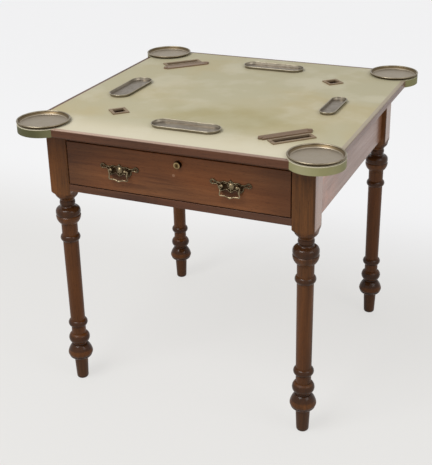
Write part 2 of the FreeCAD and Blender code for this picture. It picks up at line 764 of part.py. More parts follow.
def drawers():
    """The front drawer with its pulls and lock, and its twin at the back.

    Left and right are as seen by someone who stands in front of that drawer."""
    right_side = drawer_side()
    left_side = right_side.mirror(Vec(0, 0, 0), Vec(1, 0, 0))
    front = drawer_front()
    bottom = box(-side_inner - groove_depth, side_inner + groove_depth,
                 front_back_y - groove_depth, drawer_end_y, bottom_low, bottom_high)
    back = box(-side_inner - groove_depth, side_inner + groove_depth,
               drawer_end_y - 2 * drawer_back_thickness, drawer_end_y - drawer_back_thickness,
               bottom_high, side_high - drawer_back_drop)
    lock_outside, lock_case, lock_plug, lock_bolt = lock()
    plate = pull_plate()
    plate.translate(Vec(0, 0, -plate_drop))
    post = pull_post()
    posts = []
    shank_holes = []
    for side in (-1, 1):
        placed = post.copy()
        placed.translate(Vec(side * post_spacing / 2, 0, 0))
        posts.append(placed)
        hole = Part.makeCylinder(post_radius + post_hole_clearance, front_thickness + plate_thickness,
                                 Vec(side * post_spacing / 2, -plate_thickness, 0), Vec(0, 1, 0))
        shank_holes.append(hole)
    plate = plate.cut(shank_holes)
    swing = bail()
    swing.translate(Vec(0, -(plate_thickness + post_reach), 0))

    pieces = {}
    front = front.cut([left_side, right_side, bottom, lock_outside])
    for name, side in (("left", -1), ("right", 1)):
        at = Vec(side * pull_x, rail_face_y, pull_height)
        fittings = []
        for item in [plate] + posts + shank_holes:
            placed = item.copy()
            placed.translate(at)
            fittings.append(placed)
        front = front.cut(fittings[3:])
        pieces["pull_plate_{}_" + name] = fittings[:3]
        hanging = swing.copy()
        hanging.translate(at)
        pieces["pull_bail_{}_" + name] = [hanging]
    pieces["{}_drawer_front"] = [front]
    pieces["{}_drawer_left_side"] = [left_side.cut([bottom, back])]
    pieces["{}_drawer_right_side"] = [right_side.cut([bottom, back])]
    pieces["{}_drawer_back"] = [back]
    pieces["{}_drawer_bottom"] = [bottom]
    pieces["{}_lock_case"] = [lock_case]
    pieces["{}_lock_plug"] = [lock_plug]
    pieces["{}_lock_bolt"] = [lock_bolt]
    for name, solids in pieces.items():
        save(name.format("front"), *solids)
        save(name.format("back"), *[turned_about(solid) for solid in solids])


table_top()
frame()
drawers()
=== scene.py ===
import math

import bpy
import numpy as np
from mathutils import Matrix, Vector


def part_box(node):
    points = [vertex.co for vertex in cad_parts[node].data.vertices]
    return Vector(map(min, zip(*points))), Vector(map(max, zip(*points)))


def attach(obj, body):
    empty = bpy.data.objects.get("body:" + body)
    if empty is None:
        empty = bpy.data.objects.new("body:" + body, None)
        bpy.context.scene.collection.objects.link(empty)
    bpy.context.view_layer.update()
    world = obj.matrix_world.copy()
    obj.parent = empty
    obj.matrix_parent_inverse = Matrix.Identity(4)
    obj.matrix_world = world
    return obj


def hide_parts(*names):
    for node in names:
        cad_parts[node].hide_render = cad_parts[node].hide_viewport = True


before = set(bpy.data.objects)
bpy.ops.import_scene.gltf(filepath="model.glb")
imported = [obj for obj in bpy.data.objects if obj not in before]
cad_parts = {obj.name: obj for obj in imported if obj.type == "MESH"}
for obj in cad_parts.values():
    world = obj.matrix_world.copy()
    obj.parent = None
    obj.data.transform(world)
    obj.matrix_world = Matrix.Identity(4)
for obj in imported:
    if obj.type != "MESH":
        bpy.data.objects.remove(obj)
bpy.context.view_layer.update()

scene = bpy.context.scene
scene.view_settings.view_transform = "Standard"


# --- Camera -----------------------------------------------------------------
# A long lens stands to the right of the front drawer, above the table, and
# looks down at it. It is turned a little about its own axis.
camera_place = Vector((0.9177, -2.1726, 1.4556))
camera_azimuth = math.radians(23.9484)
camera_elevation = math.radians(23.6762)
camera_roll = math.radians(-1.2270)
towards_camera = Vector((math.sin(camera_azimuth) * math.cos(camera_elevation),
                         -math.cos(camera_azimuth) * math.cos(camera_elevation),
                         math.sin(camera_elevation)))
level_right = Vector((math.cos(camera_azimuth), math.sin(camera_azimuth), 0))
level_up = towards_camera.cross(level_right)
rolled_right = level_right * math.cos(camera_roll) + level_up * math.sin(camera_roll)
rolled_up = level_up * math.cos(camera_roll) - level_right * math.sin(camera_roll)
lens = bpy.data.cameras.new("view_camera")
lens.sensor_width = 36.0
lens.lens = 72.93
lens.shift_y = -0.0505
camera = bpy.data.objects.new("view_camera", lens)
turn = Matrix((rolled_right, rolled_up, towards_camera)).transposed()
camera.matrix_world = Matrix.Translation(camera_place) @ turn.to_4x4()
scene.collection.objects.link(camera)
scene.camera = camera


# --- Studio: floor and light ------------------------------------------------
# A seamless near-white paper floor under an even sky. One broad soft lamp
# stands high in front and a weaker one at the right.
def node(tree, kind, inputs=None, **settings):
    """A shader node. An input may be a plain value or another node's output socket."""
    made = tree.nodes.new("ShaderNode" + kind)
    for name, value in settings.items():
        setattr(made, name, value)
    for name, value in (inputs or {}).items():
        if isinstance(value, bpy.types.NodeSocket):
            tree.links.new(value, made.inputs[name])
        else:
            made.inputs[name].default_value = value
    return made


def calculate(tree, operation, first, second=0.0, third=0.0):
    """The result of one Math node."""
    return node(tree, "Math", {0: first, 1: second, 2: third}, operation=operation).outputs[0]


def between(tree, value, low, high, start=0.0, end=1.0):
    """A smooth rise from start, where value is low, to end, where it is high."""
    limits = {"Value": value, "From Min": low, "From Max": high, "To Min": start, "To Max": end}
    return node(tree, "MapRange", limits, interpolation_type="SMOOTHSTEP").outputs[0]


def mixed(tree, share, first, second, way="MIX"):
    """Two colours mixed by a share from 0 to 1."""
    return node(tree, "Mix", {0: share, 6: first, 7: second}, data_type="RGBA", blend_type=way).outputs[2]


def srgb(red, green, blue):
    """A colour as seen on screen, from 0 to 255, as the linear colour a shader takes."""
    shares = np.array((red, green, blue)) / 255.0
    linear = np.where(shares <= 0.04045, shares / 12.92, ((shares + 0.055) / 1.055) ** 2.4)
    return (*linear.tolist(), 1.0)


def object_place(tree):
    """Object coordinates, in metres from the floor under the middle of the table."""
    return node(tree, "TexCoord").outputs["Object"]


def object_axes(tree):
    """X, Y and Z of the object coordinates."""
    return node(tree, "SeparateXYZ", {0: object_place(tree)}).outputs


def seen_directly(tree):
    """1 for rays that show the backdrop itself, straight or in metal or glass, else 0."""
    rays = node(tree, "LightPath").outputs
    seen = calculate(tree, "MAXIMUM", rays["Is Camera Ray"], rays["Is Glossy Ray"])
    return calculate(tree, "MAXIMUM", seen, rays["Is Transmission Ray"])


half_floor = 20.0
floor_corners = [(x * half_floor, y * half_floor, 0) for x, y in ((-1, -1), (1, -1), (1, 1), (-1, 1))]
floor_mesh = bpy.data.meshes.new("paper_floor")
floor_mesh.from_pydata(floor_corners, [], [(0, 1, 2, 3)])
paper = bpy.data.materials.new("floor_paper")
paper.use_nodes = True
tree = paper.node_tree
shader = tree.nodes["Principled BSDF"]
# along Y the paper goes from its near colours to its paler far ones
paling_start, paling_end = 0.3, 1.15
# as it is seen it is mostly its own white, and keeps a fifth of the shade
own_share = 0.80
black = (0.0, 0.0, 0.0, 1.0)
depth = between(tree, object_axes(tree)["Y"], paling_start, paling_end)
shade = mixed(tree, depth, srgb(231, 230, 228), srgb(240, 240, 240))
own = mixed(tree, depth, srgb(209, 208, 206), srgb(226, 226, 227))
seen = seen_directly(tree)
lit = mixed(tree, seen, shade, mixed(tree, own_share, shade, black))
tree.links.new(lit, shader.inputs["Base Color"])
tree.links.new(mixed(tree, seen, black, own), shader.inputs["Emission Color"])
shader.inputs["Emission Strength"].default_value = 1.0
shader.inputs["Roughness"].default_value = 0.9
shader.inputs["Specular IOR Level"].default_value = 0.2
floor_mesh.materials.append(paper)
paper_floor = bpy.data.objects.new("paper_floor", floor_mesh)
scene.collection.objects.link(paper_floor)

# how strongly the sky lights the table, and how bright it looks behind it
sky_strength, backdrop_strength = 0.47, 0.88
sky = bpy.data.worlds.new("studio_sky")
sky.use_nodes = True
scene.world = sky
tree = sky.node_tree
backdrop = tree.nodes["Background"]
backdrop.inputs["Color"].default_value = (1.0, 1.0, 1.0, 1.0)
strength = node(tree, "MapRange", {"Value": seen_directly(tree), "To Min": sky_strength,
                                   "To Max": backdrop_strength})
tree.links.new(strength.outputs[0], backdrop.inputs["Strength"])

lamp_target = Vector((0.0, 0.0, 0.5))


def soft_lamp(name, place, width, watts):
    """A square soft lamp that faces the middle of the table."""
    light = bpy.data.lights.new(name, "AREA")
    light.shape = "SQUARE"
    light.size = width
    light.energy = watts
    lamp = bpy.data.objects.new(name, light)
    aim = lamp_target - Vector(place)
    lamp.matrix_world = Matrix.Translation(place) @ aim.to_track_quat("-Z", "Y").to_matrix().to_4x4()
    scene.collection.objects.link(lamp)


soft_lamp("key_lamp", (-0.9, -2.2, 3.4), width=1.8, watts=88.0)
soft_lamp("fill_lamp", (2.6, -1.0, 2.4), width=1.6, watts=22.0)


# --- Turned legs ------------------------------------------------------------
# Walnut, turned from one square billet each, with the block left square for
# the joints. The beads and shoulders are glossier, with their dark reflections
# painted into their colour, and the block is painted with the shade under the top.
def shader_group(name, inputs, outputs):
    """An empty node group with its named sockets: (name, kind, value) in, (name, kind) out."""
    tree = bpy.data.node_groups.new(name, "ShaderNodeTree")
    for label, kind, value in inputs:
        socket = tree.interface.new_socket(label, in_out="INPUT", socket_type="NodeSocket" + kind)
        if value is not None:
            socket.default_value = value
    for label, kind in outputs:
        tree.interface.new_socket(label, in_out="OUTPUT", socket_type="NodeSocket" + kind)
    return tree, tree.nodes.new("NodeGroupInput").outputs, tree.nodes.new("NodeGroupOutput").inputs


def wood_figure_group():
    """Figure of sawn wood whose grain runs along X of the vector given in metres.

    Broad bands and fine streaks are noise stretched along the grain; pores are
    short dark dashes where a very fine stretched noise is lowest."""
    tree, given, result = shader_group(
        "wood_figure",
        [("Vector", "Vector", None), ("Dark", "Color", None), ("Light", "Color", None),
         ("Warm", "Color", None)],
        [("Colour", "Color"), ("Polish", "Float"), ("Height", "Float")])
    band_share, streak_share, warm_share, pore_share = 0.55, 0.45, 0.6, 0.5

    def stretched(along, across, detail, bend=0.0):
        """Noise with so many waves to the metre along the grain and across it."""
        scaled = node(tree, "Mapping", {0: given["Vector"], "Scale": (along, across, across)})
        noise = {"Vector": scaled.outputs[0], "Scale": 1.0, "Detail": detail, "Distortion": bend}
        return node(tree, "TexNoise", noise).outputs[0]

    bands = between(tree, stretched(along=2.2, across=24.0, detail=3.0, bend=0.8), 0.32, 0.68)
    streaks = between(tree, stretched(along=7.0, across=190.0, detail=4.0, bend=0.3), 0.30, 0.72)
    dashes = between(tree, stretched(along=70.0, across=1500.0, detail=1.0), 0.38, 0.30)
    clouds = between(tree, stretched(along=3.5, across=7.0, detail=2.0), 0.35, 0.70)
    fine = calculate(tree, "MULTIPLY", streaks, streak_share)
    tone = calculate(tree, "MULTIPLY_ADD", bands, band_share, fine)
    colour = mixed(tree, tone, given["Dark"], given["Light"])
    colour = mixed(tree, calculate(tree, "MULTIPLY", clouds, warm_share), colour, given["Warm"])
    dark_pores = calculate(tree, "MULTIPLY", dashes, pore_share)
    colour = mixed(tree, dark_pores, colour, given["Dark"], "MULTIPLY")
    tree.links.new(colour, result["Colour"])
    tree.links.new(calculate(tree, "SUBTRACT", tone, dark_pores), result["Polish"])
    tree.links.new(calculate(tree, "SUBTRACT", fine, dark_pores), result["Height"])
    return tree


wood_figure = wood_figure_group()
# how the figure is turned so that its grain runs along an axis
ALONG = {"X": (0.0, 0.0, 0.0), "Y": (0.0, 0.0, math.pi / 2), "Z": (0.0, math.pi / 2, 0.0)}


def grouped(tree, group, inputs):
    """The outputs of a node group placed in a material with its own values."""
    return node(tree, "Group", inputs, node_tree=group).outputs


def wooden(name, along, dark, light, warm, polish=(0.30, 0.46), shift=0.0, tilt=0.0, coat=0.0,
           coat_above=0.0):
    """A polished wood. Returns the material, its tree, shader and colour.

    polish holds the least and the greatest roughness, and shift slides the figure,
    so that pieces are not alike. Flat faces that look along X, above a height,
    have a thicker coat of shellac, and a hazy orange sheen is painted into their colour."""
    painted_sheen_colour, sheen_share = srgb(196, 144, 112), 0.48
    facing_start, facing_full = 0.97, 0.995
    coat_edge = 0.002
    sidestep = 0.37
    material = bpy.data.materials.new(name)
    material.use_nodes = True
    tree = material.node_tree
    shader = tree.nodes["Principled BSDF"]
    place = object_place(tree)
    turned = node(tree, "Mapping", {0: place, "Location": (shift, sidestep * shift, 0.0),
                                    "Rotation": Vector(ALONG[along]) + Vector((0.0, 0.0, tilt))})
    figure = grouped(tree, wood_figure, {"Vector": turned.outputs[0], "Dark": dark, "Light": light,
                                         "Warm": warm})
    rough = between(tree, figure["Polish"], 0.0, 1.0, polish[1], polish[0])
    bump = node(tree, "Bump", {"Height": figure["Height"], "Strength": 0.25, "Distance": 0.0004})
    tree.links.new(rough, shader.inputs["Roughness"])
    tree.links.new(bump.outputs[0], shader.inputs["Normal"])
    shader.inputs["Specular IOR Level"].default_value = 0.2
    facing = node(tree, "SeparateXYZ", {0: node(tree, "NewGeometry").outputs["True Normal"]}).outputs["X"]
    facing = calculate(tree, "ABSOLUTE", facing)
    above = between(tree, object_axes(tree)["Z"], coat_above, coat_above + coat_edge)
    coat_and_sheen = calculate(tree, "MULTIPLY", between(tree, facing, facing_start, facing_full, 0.0, coat), above)
    tree.links.new(coat_and_sheen, shader.inputs["Coat Weight"])
    shader.inputs["Coat Roughness"].default_value = 0.22
    shader.inputs["Coat IOR"].default_value = 1.55
    # the hazy orange on faces with the thicker coat is a painted sheen
    colour = mixed(tree, calculate(tree, "MULTIPLY", coat_and_sheen, sheen_share), figure["Colour"], painted_sheen_colour)
    tree.links.new(colour, shader.inputs["Base Color"])
    return material, tree, shader, colour


CORNERS = ("fl", "fr", "bl", "br")
block_bottom = 0.556
leg_finish, tree, shader, colour = wooden(
    "turned_walnut", "Z", dark=srgb(66, 41, 20), light=srgb(118, 73, 34), warm=srgb(110, 62, 22), coat=0.75,
    coat_above=block_bottom)
height = object_axes(tree)["Z"]

# heights of the mouldings painted darker as their dark reflections, from the foot up
dark_mouldings = ((0.0, 0.005), (0.066, 0.077), (0.093, 0.114), (0.119, 0.135), (0.166, 0.180),
                  (0.418, 0.431), (0.489, 0.528))
moulding_edge = 0.003
moulding_dark, moulding_share, moulding_rough = srgb(46, 30, 19), 0.66, 0.16
# the ramp's length in metres from the floor up
ramp_top = 0.56
ramp = node(tree, "ValToRGB", {0: calculate(tree, "DIVIDE", height, ramp_top)})
stops = ramp.color_ramp.elements
stops[0].color = (1, 1, 1, 1)
stops[1].color = (0, 0, 0, 1)
for low, high in dark_mouldings:
    for z, shade in ((low - moulding_edge, 0), (low, 1), (high, 1), (high + moulding_edge, 0)):
        if z > 0:
            stops.new(z / ramp_top).color = (shade, shade, shade, 1)
on_moulding = ramp.outputs[0]
# the mouldings' dark reflections are painted here
polished = mixed(tree, calculate(tree, "MULTIPLY", on_moulding, moulding_share), colour, moulding_dark)

# where a darker tone begins and where it is full, its share and its colour:
# the foot, the block close under the top, where the shade of the top's overhang
# is painted, and all that is turned
for start, full, share, tone in ((0.072, 0.040, 0.35, srgb(50, 38, 24)),
                                 (0.665, 0.712, 0.40, srgb(40, 25, 15)),
                                 (block_bottom, 0.545, 0.34, srgb(44, 18, 4))):
    polished = mixed(tree, between(tree, height, start, full, 0.0, share), polished, tone)
tree.links.new(polished, shader.inputs["Base Color"])
rough = shader.inputs["Roughness"].links[0].from_socket
shiny = node(tree, "Mix", {0: on_moulding, 2: rough, 3: moulding_rough})
tree.links.new(shiny.outputs[0], shader.inputs["Roughness"])


def arcs(ends, bulge, steps=24):
    """Points along a chain of circular arcs through the ends, without the last end.

    Each arc rises by its bulge over its chord c, outwards to the right of the
    way it runs: P(t) = M + c/2 (sin ht / sin h U + (cos ht - cos h) / sin h N)."""
    ends = np.asarray(ends, dtype=float)
    run = np.diff(ends, axis=0)
    chord = np.linalg.norm(run, axis=1)
    half_turn = (2 * np.arctan(2 * np.where(bulge, bulge, 1e-6) / chord))[:, None]
    along = (run / chord[:, None])[:, None]
    outwards = (np.stack([run[:, 1], -run[:, 0]], axis=1) / chord[:, None])[:, None]
    t = np.linspace(-1, 1, steps, endpoint=False)
    half_chord = (chord / 2)[:, None]
    lengthwise = (half_chord * np.sin(half_turn * t) / np.sin(half_turn))[..., None]
    rise = (half_chord * (np.cos(half_turn * t) - np.cos(half_turn)) / np.sin(half_turn))[..., None]
    middles = ((ends[1:] + ends[:-1]) / 2)[:, None]
    return (middles + lengthwise * along + rise * outwards).reshape(-1, 2)


def turned_leg(turnings, cup_bottom, top, half_block, arris, around=96):
    """One surface for the turned part and the block, as points, quads and end caps.

    P(s, a) = (r cos a, r sin a, z(s)), with r the lathe's profile r(s), and above
    the cup the smaller of that and the block's reach, half / max(|cos a|, |sin a|)
    up to its arris. turnings holds (radius, height, bulge of the arc up to it) in mm."""
    stations = np.array(turnings, dtype=float)
    profile = np.concatenate([arcs(stations[:, :2], stations[1:, 2], steps=6), stations[-1:, :2],
                              [(stations[-1, 0], top)]])
    angle = np.linspace(0, 2 * math.pi, around, endpoint=False)
    reach = np.minimum(half_block / np.maximum(np.abs(np.cos(angle)), np.abs(np.sin(angle))), arris)
    radius = np.where(profile[:, 1:] > cup_bottom, np.minimum(profile[:, :1], reach), profile[:, :1])
    points = np.stack([radius * np.cos(angle), radius * np.sin(angle),
                       np.broadcast_to(profile[:, 1:], radius.shape)], axis=-1).reshape(-1, 3)
    row = np.arange(len(profile) - 1)[:, None] * around
    side = np.arange(around)
    next_side = (side + 1) % around
    quads = np.stack([row + side, row + next_side, row + around + next_side, row + around + side],
                     axis=-1).reshape(-1, 4)
    return points, quads, np.stack([side[::-1], (len(profile) - 1) * around + side])


def smooth_piece(name, points, faces, finish):
    """A new piece of smooth faces, its points in metres from the origin."""
    mesh = bpy.data.meshes.new(name)
    mesh.from_pydata(points.tolist(), [], faces)
    mesh.polygons.foreach_set("use_smooth", np.ones(len(faces), bool))
    mesh.materials.append(finish)
    piece = bpy.data.objects.new(name, mesh)
    scene.collection.objects.link(piece)
    return piece


# radius and height of each station from the foot up, and the bulge of the arc up to it
turnings = (
    (9.6, 0.0, 0.0), (15.6, 5.0, 1.6), (18.2, 66.0, 0.0), (22.0, 66.4, 0.0),          # foot
    (30.4, 73.0, 1.8), (29.6, 74.0, 0.0), (32.8, 83.0, 1.2), (20.2, 107.4, 2.2),      # flange
    (18.8, 107.8, 0.0), (18.8, 112.0, 0.0),
    (20.4, 112.4, 0.0), (20.4, 140.8, 7.6), (18.9, 141.2, 0.0), (18.9, 163.0, 0.0),   # bead, ankle
    (20.6, 163.4, 0.0), (20.6, 181.8, 4.8), (19.2, 182.2, 0.0),                       # lower ring
    (20.2, 415.8, 0.0), (21.7, 416.2, 0.0), (21.7, 432.8, 3.9), (20.4, 433.2, 0.0),   # shaft, upper ring
    (20.6, 464.0, 0.0),
    (31.6, 486.4, 2.9), (30.0, 488.0, 0.0), (31.6, 498.0, 0.6), (20.8, 510.0, 3.2),   # bulb
    (17.0, 516.0, -1.5), (18.5, 516.3, 0.0), (18.5, 527.8, 1.4), (17.2, 528.2, 0.0),  # throat, collar
    (18.2, 528.6, 0.0), (23.4, 537.5, -1.0), (30.0, 549.5, 1.2), (38.6, 556.5, 0.8))  # cup, shoulders
# in millimetres: where the cup starts, half the block's width, and its edge's reach from the axis
cup_bottom, half_block, arris = 528.4, 27.5, 38.0
crease = math.radians(32)
for corner_name in CORNERS:
    low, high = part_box("leg_" + corner_name)
    middle = np.array(((low[0] + high[0]) / 2, (low[1] + high[1]) / 2, 0.0))
    points, quads, caps = turned_leg(turnings, cup_bottom, high[2] * 1000, half_block, arris)
    piece = smooth_piece("turned_leg_" + corner_name, points / 1000.0 + middle,
                         quads.tolist() + caps.tolist(), leg_finish)
    piece.data.set_sharp_from_angle(angle=crease)
    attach(piece, "table")
    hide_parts("leg_" + corner_name)


# --- Aprons and rails -------------------------------------------------------
# Walnut boards tenoned into the leg blocks, with the grain along each board,
# finished with the same shellac as the legs.
def dress(material, *names):
    """Give CAD nodes a finish."""
    for name in names:
        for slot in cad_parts[name].material_slots:
            slot.material = material


walnut = {"dark": srgb(66, 41, 27), "light": srgb(112, 72, 44), "warm": srgb(104, 58, 30)}
board_x, tree, shader, colour = wooden("walnut_along_x", "X", shift=0.6, **walnut)
# the rails below the drawers are darker, and the more so towards +X
low_rail_start, low_rail_full, rail_end = 0.60, 0.59, 0.28
least_share, greatest_share = 0.25, 0.60
axes = object_axes(tree)
darker = calculate(tree, "MULTIPLY", between(tree, axes["Z"], low_rail_start, low_rail_full),
                   between(tree, axes["X"], -rail_end, rail_end, least_share, greatest_share))
tree.links.new(mixed(tree, darker, colour, srgb(64, 44, 38)), shader.inputs["Base Color"])

board_y, tree, shader, colour = wooden("walnut_along_y", "Y", shift=1.9, coat=0.52, **walnut)
# the aprons are painted paler and orange towards the front, in blotches: a painted sheen
blotch_start, blotch_full, blotch_share = -0.08, -0.27, 0.5
blotches = node(tree, "TexNoise", {"Vector": object_place(tree), "Scale": 14.0, "Detail": 3.0}).outputs[0]
near_front = between(tree, object_axes(tree)["Y"], blotch_start, blotch_full, 0.0, blotch_share)
orange = calculate(tree, "MULTIPLY", near_front, between(tree, blotches, 0.40, 0.62, 0.25, 1.0))
tree.links.new(mixed(tree, orange, colour, srgb(206, 140, 112)), shader.inputs["Base Color"])
dress(board_x, "front_lower_rail", "front_upper_rail", "back_lower_rail", "back_upper_rail")
dress(board_y, "apron_left", "apron_right")


# --- Inner frame ------------------------------------------------------------
# Unpolished pale wood: L-shaped runners, kickers above the drawers, the
# partition between them, and the board and corner blocks under the leather.
pale = {"dark": srgb(139, 108, 74), "light": srgb(187, 155, 112), "warm": srgb(171, 132, 86)}
pale_y = wooden("pale_wood_along_y", "Y", polish=(0.6, 0.75), shift=3.1, **pale)[0]
pale_x = wooden("pale_wood_along_x", "X", polish=(0.6, 0.75), shift=4.7, **pale)[0]
dress(pale_y, "runner_left", "runner_right", "kickers")
dress(pale_x, "partition", "top_board", "corner_blocks")


# --- Leather covering -------------------------------------------------------
# One hide, pale sage green and yellowed in places, glued over the whole top
# and its ears. Separate bands of the same hide are glued round the ears.
def leather_group():
    """Hide: pebbled grain from two sizes of Voronoi cells, and cloudy yellowing."""
    tree, given, result = shader_group(
        "hide", [("Vector", "Vector", None), ("Green", "Color", None), ("Yellowed", "Color", None),
                 ("Pale", "Color", None)],
        [("Colour", "Color"), ("Height", "Float"), ("Rub", "Float")])
    clouds = node(tree, "TexNoise", {"Vector": given["Vector"], "Scale": 3.4, "Detail": 4.0,
                                     "Distortion": 0.6}).outputs[0]
    bloom = node(tree, "TexNoise", {"Vector": given["Vector"], "Scale": 9.0, "Detail": 5.0}).outputs[0]
    cells = node(tree, "TexVoronoi", {"Vector": given["Vector"], "Scale": 700.0}, feature="F1").outputs[0]
    fine = node(tree, "TexNoise", {"Vector": given["Vector"], "Scale": 1800.0, "Detail": 2.0}).outputs[0]
    colour = mixed(tree, between(tree, clouds, 0.38, 0.66), given["Green"], given["Yellowed"])
    colour = mixed(tree, between(tree, bloom, 0.45, 0.75, 0.0, 0.55), colour, given["Pale"])
    tree.links.new(colour, result["Colour"])
    tree.links.new(calculate(tree, "MULTIPLY_ADD", fine, 0.35, cells), result["Height"])
    tree.links.new(between(tree, bloom, 0.4, 0.7), result["Rub"])
    return tree


hide = leather_group()


def leather(name, changed_in_place, green, yellowed, pale):
    """The hide's material. Its second argument, given the tree and a colour, returns the colour as changed
    in place: on the top a painted sheen and a browned patch, on the bands painted shade.
    """
    worn_rough, sound_rough = 0.48, 0.62
    material = bpy.data.materials.new(name)
    material.use_nodes = True
    tree = material.node_tree
    shader = tree.nodes["Principled BSDF"]
    figure = grouped(tree, hide, {"Vector": object_place(tree), "Green": green, "Yellowed": yellowed,
                                  "Pale": pale})
    bump = node(tree, "Bump", {"Height": figure["Height"], "Strength": 0.35, "Distance": 0.0003})
    tree.links.new(changed_in_place(tree, figure["Colour"]), shader.inputs["Base Color"])
    rough = between(tree, figure["Rub"], 0.0, 1.0, sound_rough, worn_rough)
    tree.links.new(rough, shader.inputs["Roughness"])
    tree.links.new(bump.outputs[0], shader.inputs["Normal"])
    shader.inputs["Specular IOR Level"].default_value = 0.35
    return material


def front_sheen_and_patch(tree, colour):
    """A strip along the front edge is paled as a painted sheen, and an oval patch
    behind it is browned, its edge broken up by noise."""
    strip_start, strip_full, strip_share = -0.24, -0.36, 0.8
    patch_middle, patch_reach, patch_share = (0.08, -0.165, 0.74), (0.25, 0.12, 1.0), 0.6
    place = object_place(tree)
    strip = between(tree, object_axes(tree)["Y"], strip_start, strip_full, 0.0, strip_share)
    # the pale strip along the front edge is a painted sheen
    colour = mixed(tree, strip, colour, srgb(206, 198, 174))
    from_patch = node(tree, "Mapping", {0: place, "Location": patch_middle, "Scale": patch_reach},
                      vector_type="TEXTURE").outputs[0]
    reach = node(tree, "VectorMath", {0: from_patch}, operation="LENGTH").outputs["Value"]
    edge = node(tree, "TexNoise", {"Vector": place, "Scale": 11.0, "Detail": 4.0}).outputs[0]
    reach = calculate(tree, "MULTIPLY_ADD", edge, 0.8, reach)
    return mixed(tree, between(tree, reach, 1.45, 0.65, 0.0, patch_share), colour, srgb(150, 139, 92))


def shaded_at_left(tree, colour):
    """The bands at the left are painted dark, as the shade on the side that faces away from the light."""
    left_shade_start, left_shade_full, left_shade_share = -0.26, -0.34, 0.92
    darker_and_shaded = between(tree, object_axes(tree)["X"], left_shade_start, left_shade_full, 0.0, left_shade_share)
    # painted shade on the bands' left side
    return mixed(tree, darker_and_shaded, colour, srgb(66, 65, 34))


dress(leather("sage_leather", front_sheen_and_patch, green=srgb(174, 167, 138), yellowed=srgb(175, 163, 127),
              pale=srgb(190, 183, 157)), "leather_top")
dress(leather("ear_leather", shaded_at_left, green=srgb(126, 123, 82), yellowed=srgb(144, 139, 97),
              pale=srgb(163, 157, 126)), "ear_bands")


# --- Lippings ---------------------------------------------------------------
# Dark walnut strips glued round the edge of the top. The front and right ones
# are pale along their upper edge, partly rubbed by sleeves and hands and partly
# a painted highlight.
def scuffs_group():
    """Worn and rubbed patches, as a mask: broad soft noise broken by fine noise."""
    tree, given, result = shader_group(
        "scuffs", [("Vector", "Vector", None), ("Size", "Float", 9.0), ("Spread", "Float", 0.5)],
        [("Mask", "Float")])
    none_worn, softness = 1.05, 0.14
    broad = node(tree, "TexNoise", {"Vector": given["Vector"], "Scale": given["Size"], "Detail": 3.0})
    grit = node(tree, "TexNoise", {"Vector": given["Vector"], "Scale": 260.0, "Detail": 3.0})
    both = calculate(tree, "MULTIPLY_ADD", grit.outputs[0], 0.35, broad.outputs[0])
    start = calculate(tree, "SUBTRACT", none_worn, given["Spread"])
    end = calculate(tree, "ADD", start, softness)
    tree.links.new(between(tree, both, start, end), result["Mask"])
    return tree


scuffs = scuffs_group()


def lipping(side, along, wear_and_highlight, wear_and_highlight_colour):
    """Dark walnut. The third argument is the share of the upper edge that is paled, partly rubbed and partly
    a painted highlight.
    """
    edge_start, edge_full = 0.7370, 0.7396
    scuffed_share, even_share = 0.55, 0.3
    paler_end, darker_end, darker_end_share = -0.25, 0.36, 0.4
    material, tree, shader, colour = wooden(
        "lipping_" + side + "_finish", along, dark=srgb(58, 37, 27), light=srgb(99, 66, 46),
        warm=srgb(91, 55, 37), shift=2.3, coat=0.25)
    axes = object_axes(tree)
    rubbed = grouped(tree, scuffs, {"Vector": object_place(tree), "Size": 7.0, "Spread": wear_and_highlight})["Mask"]
    share = calculate(tree, "MULTIPLY", between(tree, axes["Z"], edge_start, edge_full),
                      calculate(tree, "MULTIPLY_ADD", rubbed, scuffed_share, even_share * wear_and_highlight))
    # the front and back ones are paled less towards +X, by rubbing and by painted highlight alike
    if along == "X":
        share = calculate(tree, "MULTIPLY", share,
                          between(tree, axes["X"], darker_end, paler_end, darker_end_share, 1.0))
    # the paled upper edge is partly rubbed wood and partly a painted highlight
    tree.links.new(mixed(tree, share, colour, wear_and_highlight_colour), shader.inputs["Base Color"])
    return material


dress(lipping("front", "X", wear_and_highlight=0.85, wear_and_highlight_colour=srgb(186, 160, 142)), "lipping_front")
dress(lipping("back", "X", wear_and_highlight=0.25, wear_and_highlight_colour=srgb(124, 104, 88)), "lipping_back")
dress(lipping("left", "Y", wear_and_highlight=0.10, wear_and_highlight_colour=srgb(120, 98, 78)), "lipping_left")
dress(lipping("right", "Y", wear_and_highlight=0.90, wear_and_highlight_colour=srgb(168, 156, 134)), "lipping_right")


